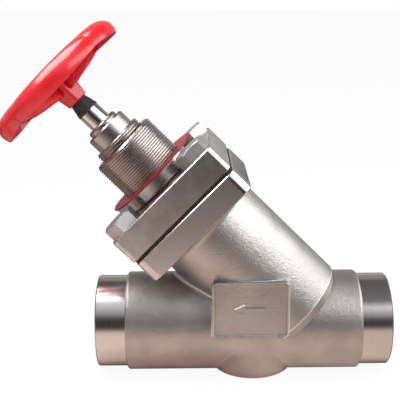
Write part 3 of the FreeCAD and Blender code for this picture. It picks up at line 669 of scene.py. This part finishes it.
def threaded(mesh, radius, pitch, depth, opening, start, end, material):
    """Cuts a thread's groove into a mesh, between two levels of the stem's axis."""
    coil = bpy.data.objects.new("coil", bpy.data.meshes.new("coil"))
    bpy.context.collection.objects.link(coil)
    wind = coil.modifiers.new("wind", "NODES")
    wind.node_group = groove_coil
    sizes = {"Radius": radius, "Pitch": pitch, "Turns": (end - start) / pitch, "Depth": depth,
             "Opening": opening, "Steps": steps_per_turn, "Material": material}
    for socket in groove_coil.interface.items_tree:
        if socket.in_out == "INPUT":
            wind[socket.identifier] = sizes[socket.name]
    coil.matrix_world = from_stem @ Matrix.Translation((0, 0, start))
    cut_mesh = evaluated(coil)
    facing_out(cut_mesh)
    coil.modifiers.clear()
    coil.data = cut_mesh
    blank = bpy.data.objects.new("blank", mesh)
    bpy.context.collection.objects.link(blank)
    cut = blank.modifiers.new("cut", "BOOLEAN")
    cut.operation = "DIFFERENCE"
    cut.solver = "EXACT"
    cut.object = coil
    bpy.context.view_layer.update()
    result = evaluated(blank)
    bpy.data.objects.remove(blank)
    bpy.data.objects.remove(coil)
    return crisp(result)


ring_low, ring_high = levels("marker_ring")
cap_top = levels("bonnet")[1]
bonnet_steel = turned_steel("turned_steel", tones=((0.56, 0.54, 0.525), (0.66, 0.645, 0.63)),
                            roughness=(0.2, 0.36), marks=4000.0, mark_depth=0.006 * mm,
                            thread=(17.7 * mm, 18.4 * mm, ring_high + 0.3 * mm, cap_top + 0.2 * mm))
bonnet_mesh = threaded(merged("bonnet"), radius=18.45 * mm, pitch=1.3 * mm, depth=0.75 * mm,
                       opening=1.2 * mm, start=ring_low + 0.5 * mm, end=cap_top + 1.3 * mm,
                       material=bonnet_steel)
stand_in("bonnet_threaded", bonnet_mesh, bonnet_steel, "valve", "bonnet")

# Packing gland and wiper ring
# The gland is turned from stainless bar and screwed into the bonnet's top, so that its thread shows under the
# plain head. The wiper ring lies on the head, round the stem.
gland_head_length = 8.1 * mm
gland_shoulder = levels("packing_gland")[1] - gland_head_length
gland_steel = turned_steel("gland_steel", tones=((0.44, 0.42, 0.41), (0.52, 0.50, 0.49)),
                           roughness=(0.26, 0.38), marks=4000.0, mark_depth=0.006 * mm,
                           thread=(13.2 * mm, 13.9 * mm, cap_top + 0.3 * mm, gland_shoulder - 0.2 * mm))
gland_mesh = threaded(merged("packing_gland"), radius=14.0 * mm, pitch=1.5 * mm, depth=0.8 * mm,
                      opening=1.35 * mm, start=cap_top - 3.0 * mm, end=gland_shoulder + 1.5 * mm,
                      material=gland_steel)
stand_in("gland_threaded", gland_mesh, gland_steel, "valve", "packing_gland")
wear(gland_steel, "wiper_ring")

# Bonnet bolts
# Four hexagon bolts of stainless steel hold the bonnet to the body's flange. Their heads are forged, and so
# duller than what is turned.
bolt_steel = turned_steel("bolt_steel", tones=((0.46, 0.455, 0.45), (0.52, 0.515, 0.51)),
                          roughness=(0.44, 0.52), marks=500.0, mark_depth=0.002 * mm)
stand_in("hexagon_bolts", crisp(merged("bonnet_bolts"), angle=12.0), bolt_steel, "valve",
         "bonnet_bolts")

# Stem, and the screw and washer that hold the wheel on it
# The stem is ground and polished where it runs in the packing. The screw and the washer are turned from the
# bonnet's steel.
polished = turned_steel("polished_steel", tones=((0.72, 0.715, 0.71), (0.78, 0.775, 0.77)),
                        roughness=(0.04, 0.12), marks=6000.0, mark_depth=0.002 * mm)
wear(polished, "spindle")
wear(bonnet_steel, "wheel_washer", "wheel_screw")

# Valve cone and the metal pieces of the packing
# They are turned from stainless bar and lie inside the body and the bonnet. The cone hangs on the stem's
# head, and the springs press the packing together inside the gland.
inner = turned_steel("inner_steel", tones=((0.50, 0.50, 0.51), (0.58, 0.58, 0.59)), roughness=(0.2, 0.4),
                     marks=3000.0, mark_depth=0.01 * mm)
wear(inner, "gland_gasket", "packing_nut", "packing_springs", "packing_follower", "cone", "cone_plate",
     "cone_washer", "thrust_disc", "cone_retainer")
wear(bonnet_steel, "cone_screw")

# Marker ring, sleeve, gasket, rings and seals
# The red ring of stiff plastic lies between the bonnet's neck and its thread. The sleeve is black plastic,
# the flange gasket pressed fibre, the O-rings rubber, and the packing and the cone's seal white plastic.


def moulded(name, tones, roughness, scale, depth, coat=0.0, rim=None):
    """Plastic, rubber, fibre or paint with a faint grain in its skin.

    A rim is the radii from the stem between which the tone changes, and the tone of the painted shade beyond them.
    """
    skin = Finish(bpy.data.materials.new(name))
    place = skin.place()
    fine = skin.noise(place, scale, detail=3.0)
    broad = skin.noise(place, scale / 12)
    tone = skin.mix(broad.rises(0.3, 0.7), *tones)
    if rim:
        inner_r, outer_r, rim_shade_tone = rim
        uphill, sideways, _ = skin.parts_of(along_stem(skin, place))
        tone = skin.mix(radius_of(uphill, sideways).rises(inner_r, outer_r), tone, rim_shade_tone)
    return skin.surface({"Base Color": tone, "Roughness": fine.spread(*roughness), "Coat Weight": coat,
                         "Normal": skin.bump(fine, depth)})


# The ring's outer edge is painted darker, as shade.
red_ring = moulded("red_ring", tones=((0.28, 0.010, 0.017), (0.34, 0.014, 0.023)), roughness=(0.35, 0.5),
                   scale=2500.0, depth=0.01 * mm, rim=(27.3 * mm, 27.6 * mm, (0.13, 0.004, 0.008)))
wear(red_ring, "marker_ring")
black_plastic = moulded("black_plastic", tones=((0.012, 0.012, 0.012), (0.022, 0.021, 0.02)),
                        roughness=(0.45, 0.62), scale=2500.0, depth=0.02 * mm)
wear(black_plastic, "stem_sleeve")
fibre = moulded("gasket_fibre", tones=((0.006, 0.005, 0.005), (0.012, 0.01, 0.01)), roughness=(0.8, 0.95),
                scale=3000.0, depth=0.03 * mm)
wear(fibre, "bonnet_gasket")
rubber = moulded("rubber", tones=((0.012, 0.012, 0.012), (0.02, 0.02, 0.02)), roughness=(0.4, 0.6),
                 scale=3000.0, depth=0.01 * mm)
wear(rubber, "gland_o_ring", "stem_o_ring")
white_plastic = moulded("seal_plastic", tones=((0.80, 0.79, 0.76), (0.86, 0.85, 0.83)), roughness=(0.35, 0.5),
                        scale=2000.0, depth=0.01 * mm)
wear(white_plastic, "packing_rings", "seal_ring")

# Handwheel
# A lobed wheel, cast hollow under its rim with four arms and a square hub, and painted glossy red. It sits on
# the stem's square and turns with the stem.
paint = moulded("wheel_paint", tones=((0.47, 0.006, 0.012), (0.53, 0.009, 0.016)), roughness=(0.24, 0.30),
                scale=900.0, depth=0.004 * mm, coat=0.25)
bodies = frame["record"]["behaviour"]["bodies"]
wheel_body = next(body for body, members in bodies.items() if "handwheel" in members)
stand_in("painted_wheel", crisp(merged("handwheel"), angle=25.0), paint, wheel_body, "handwheel")
